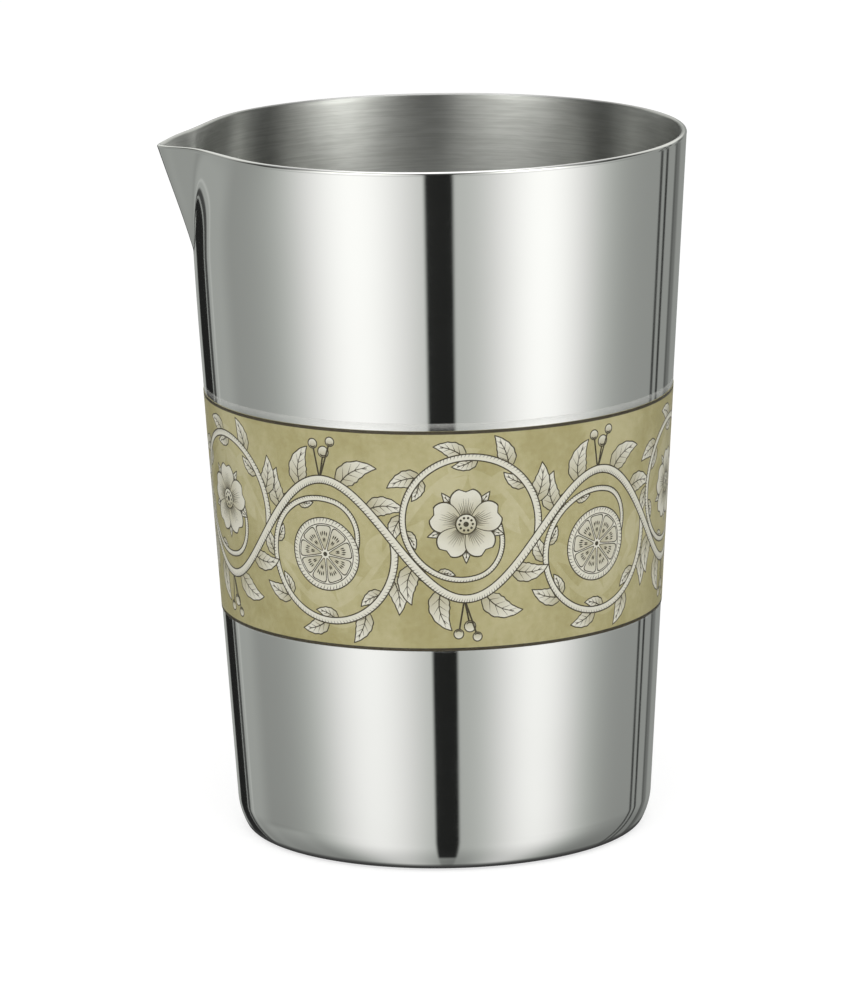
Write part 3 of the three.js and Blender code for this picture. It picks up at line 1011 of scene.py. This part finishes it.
def studio_world():
    """Even light for matt surfaces, the studio for what mirrors it, and white for the camera."""
    world = bpy.data.worlds.new("studio")
    nodes = Nodes(world)
    world.cycles.sampling_method = "NONE"
    direction = nodes.add("TexCoord")["Generated"]
    turned = nodes.add(
        "VectorRotate", {"Vector": direction, "Angle": -CAMERA_AZIMUTH}, rotation_type="Z_AXIS",
    )[0]
    axes = nodes.add("SeparateXYZ", {0: turned})
    back = nodes.math("MULTIPLY", axes["Y"], -1.0)
    azimuth = nodes.math("DEGREES", nodes.math("ARCTAN2", axes["X"], back))
    away = nodes.math("ABSOLUTE", azimuth)
    elevation = nodes.math("DEGREES", nodes.math("ARCSINE", axes["Z"]))

    def softbox(centre, width, level):
        off = nodes.math("DIVIDE", nodes.math("SUBTRACT", azimuth, centre), width)
        fall = nodes.math("EXPONENT", nodes.math("MULTIPLY", nodes.math("MULTIPLY", off, off), -1.0))
        return nodes.math("MULTIPLY", fall, level)

    def strip(low, high, soft_low, soft_high):
        rise = nodes.smooth(azimuth, low - soft_low, low + soft_low)
        fall = nodes.smooth(azimuth, high - soft_high, high + soft_high, 1.0, 0.0)
        return nodes.math("MULTIPLY", rise, fall)

    def shaded(level, mask, depth):
        left = nodes.math("SUBTRACT", 1.0, nodes.math("MULTIPLY", mask, depth))
        return nodes.math("MULTIPLY", level, left)

    boxes = nodes.math("ADD", softbox(*LOW_BOXES[0]), softbox(*LOW_BOXES[1]))
    level = nodes.math("ADD", boxes, ROOM_LEVEL)
    level = nodes.math("ADD", level, nodes.smooth(azimuth, *LEFT_WALL))
    flank = nodes.math("MULTIPLY", strip(*FLANK_STRIP), nodes.smooth(elevation, *FLANK_FADE))
    level = nodes.math("ADD", level, flank)
    level = nodes.math("ADD", level, nodes.math("MULTIPLY", strip(*PALE_STRIP), PALE_LEVEL))
    gap = nodes.math("MULTIPLY", strip(*GAP_STRIP), nodes.smooth(elevation, *TABLE_FADE))
    level = shaded(level, gap, GAP_DEPTH)
    for flag, depth in FLAGS:
        level = shaded(level, strip(*flag), depth)
    for fade in (LOWER_FADE, DOWNWARD_FADE):
        level = nodes.math("MULTIPLY", level, nodes.smooth(elevation, *fade))
    tint = nodes.mix(nodes.smooth(level, *PALE_FROM), GREY_TINT, PALE_TINT)
    side = nodes.add("VectorMath", {0: tint, "Scale": level}, operation="SCALE")[0]

    high_boxes = nodes.math("ADD", softbox(*HIGH_BOXES[0]), softbox(*HIGH_BOXES[1]))
    high = nodes.math("MULTIPLY", high_boxes, nodes.smooth(elevation, *HIGH_FADE))
    high = shaded(high, strip(*HIGH_GAP), HIGH_GAP_DEPTH)
    high = nodes.math("ADD", high, nodes.smooth(away, *BEHIND_FADE))
    high = nodes.math("ADD", high, HIGH_ROOM_LEVEL)
    high = nodes.add("VectorMath", {0: HIGH_TINT, "Scale": high}, operation="SCALE")[0]
    above = nodes.math("SUBTRACT", elevation, nodes.smooth(away, *HORIZON_FADE))
    studio = nodes.mix(nodes.smooth(above, *HIGH_FROM), side, high)
    ceiling = nodes.smooth(away, *CEILING_FADE)
    studio = nodes.mix(nodes.smooth(elevation, *CEILING_FROM), studio, ceiling)
    studio = nodes.mix(nodes.smooth(elevation, *OVERHEAD_FROM), studio, grey(OVERHEAD_LEVEL))

    rays = nodes.add("LightPath")
    light = nodes.mix(rays["Is Glossy Ray"], grey(AMBIENT), studio)
    light = nodes.mix(rays["Is Camera Ray"], light, grey(1.0))
    nodes.output(nodes.add("Background", {"Color": light, "Strength": 1.0})[0], "OutputWorld")
    bpy.context.scene.world = world


# Floor, with a painted shadow in rings round the foot in millimetres, which the steel mirrors darker

FLOOR_HALF = 4.0
FLOOR_DROP = 0.00005
FLOOR_TONE = 0.82
FLOOR_GLOW = 1.4
FLOOR_GLOW_SHARE = 0.5
PAINTED_CONTACT_SHADOW = (37.6, 38.8, 1.0, 0.0)
PAINTED_SHADOW_LEVEL = 0.05
PAINTED_FOOT_SHADE = (36, 47, 0.27, 0.0)


def add_floor():
    """Pale floor that renders white and keeps the cup's shadow, with a painted contact shadow round the
    foot that only reflections see.
    """
    sides = ((-1, -1), (1, -1), (1, 1), (-1, 1))
    corners = [(x * FLOOR_HALF, y * FLOOR_HALF, -FLOOR_DROP) for x, y in sides]
    mesh = bpy.data.meshes.new("floor")
    mesh.from_pydata(corners, [], [(0, 1, 2, 3)])
    floor = bpy.data.objects.new("floor", mesh)
    bpy.context.scene.collection.objects.link(floor)
    material = bpy.data.materials.new("floor")
    nodes = Nodes(material)
    diffuse = nodes.add("BsdfDiffuse", {"Color": grey(FLOOR_TONE)})[0]
    white = nodes.add("Emission", {"Color": grey(1.0), "Strength": FLOOR_GLOW})[0]
    rays = nodes.add("LightPath")
    share = nodes.math("MULTIPLY", rays["Is Camera Ray"], FLOOR_GLOW_SHARE)
    pale = nodes.add("MixShader", {0: share, 1: diffuse, 2: white})[0]
    place = nodes.add("NewGeometry")["Position"]
    distance = nodes.math("DIVIDE", nodes.add("VectorMath", {0: place}, operation="LENGTH")[1], MM)
    # Painted shadow: a dark ring at the foot and a fainter painted shade out to 47 mm, which glossy rays
    # see instead of the studio below
    contact_shadow = nodes.smooth(distance, *PAINTED_CONTACT_SHADOW)
    foot = nodes.smooth(distance, *PAINTED_FOOT_SHADE)
    shade = nodes.math("MAXIMUM", contact_shadow, foot)
    clear = nodes.add("BsdfTransparent")[0]
    painted_shadow = nodes.add("Emission", {"Color": grey(PAINTED_SHADOW_LEVEL), "Strength": 1.0})[0]
    mirrored_painted_shadow = nodes.add("MixShader", {0: shade, 1: clear, 2: painted_shadow})[0]
    nodes.output(nodes.add("MixShader", {0: rays["Is Glossy Ray"], 1: pale, 2: mirrored_painted_shadow})[0])
    mesh.materials.append(material)


# Key lamp

KEY_POWER = 8.0
KEY_SIZE = 1.4
KEY_AZIMUTH = math.radians(-6)
KEY_ELEVATION = math.radians(38)
KEY_DISTANCE = 1.6


def add_key_lamp():
    data = bpy.data.lights.new("key", "AREA")
    data.shape = "DISK"
    data.size = KEY_SIZE
    data.energy = KEY_POWER
    lamp = bpy.data.objects.new("key", data)
    flat = math.cos(KEY_ELEVATION)
    away = Vector((math.sin(KEY_AZIMUTH) * flat, -math.cos(KEY_AZIMUTH) * flat, math.sin(KEY_ELEVATION)))
    lamp.location = away * KEY_DISTANCE
    lamp.rotation_mode = "QUATERNION"
    lamp.rotation_quaternion = (-away).to_track_quat("-Z", "Y")
    lamp.visible_glossy = False
    lamp.visible_camera = False
    bpy.context.scene.collection.objects.link(lamp)


add_camera()
studio_world()
add_floor()
add_key_lamp()
bpy.context.scene.view_settings.view_transform = "Standard"
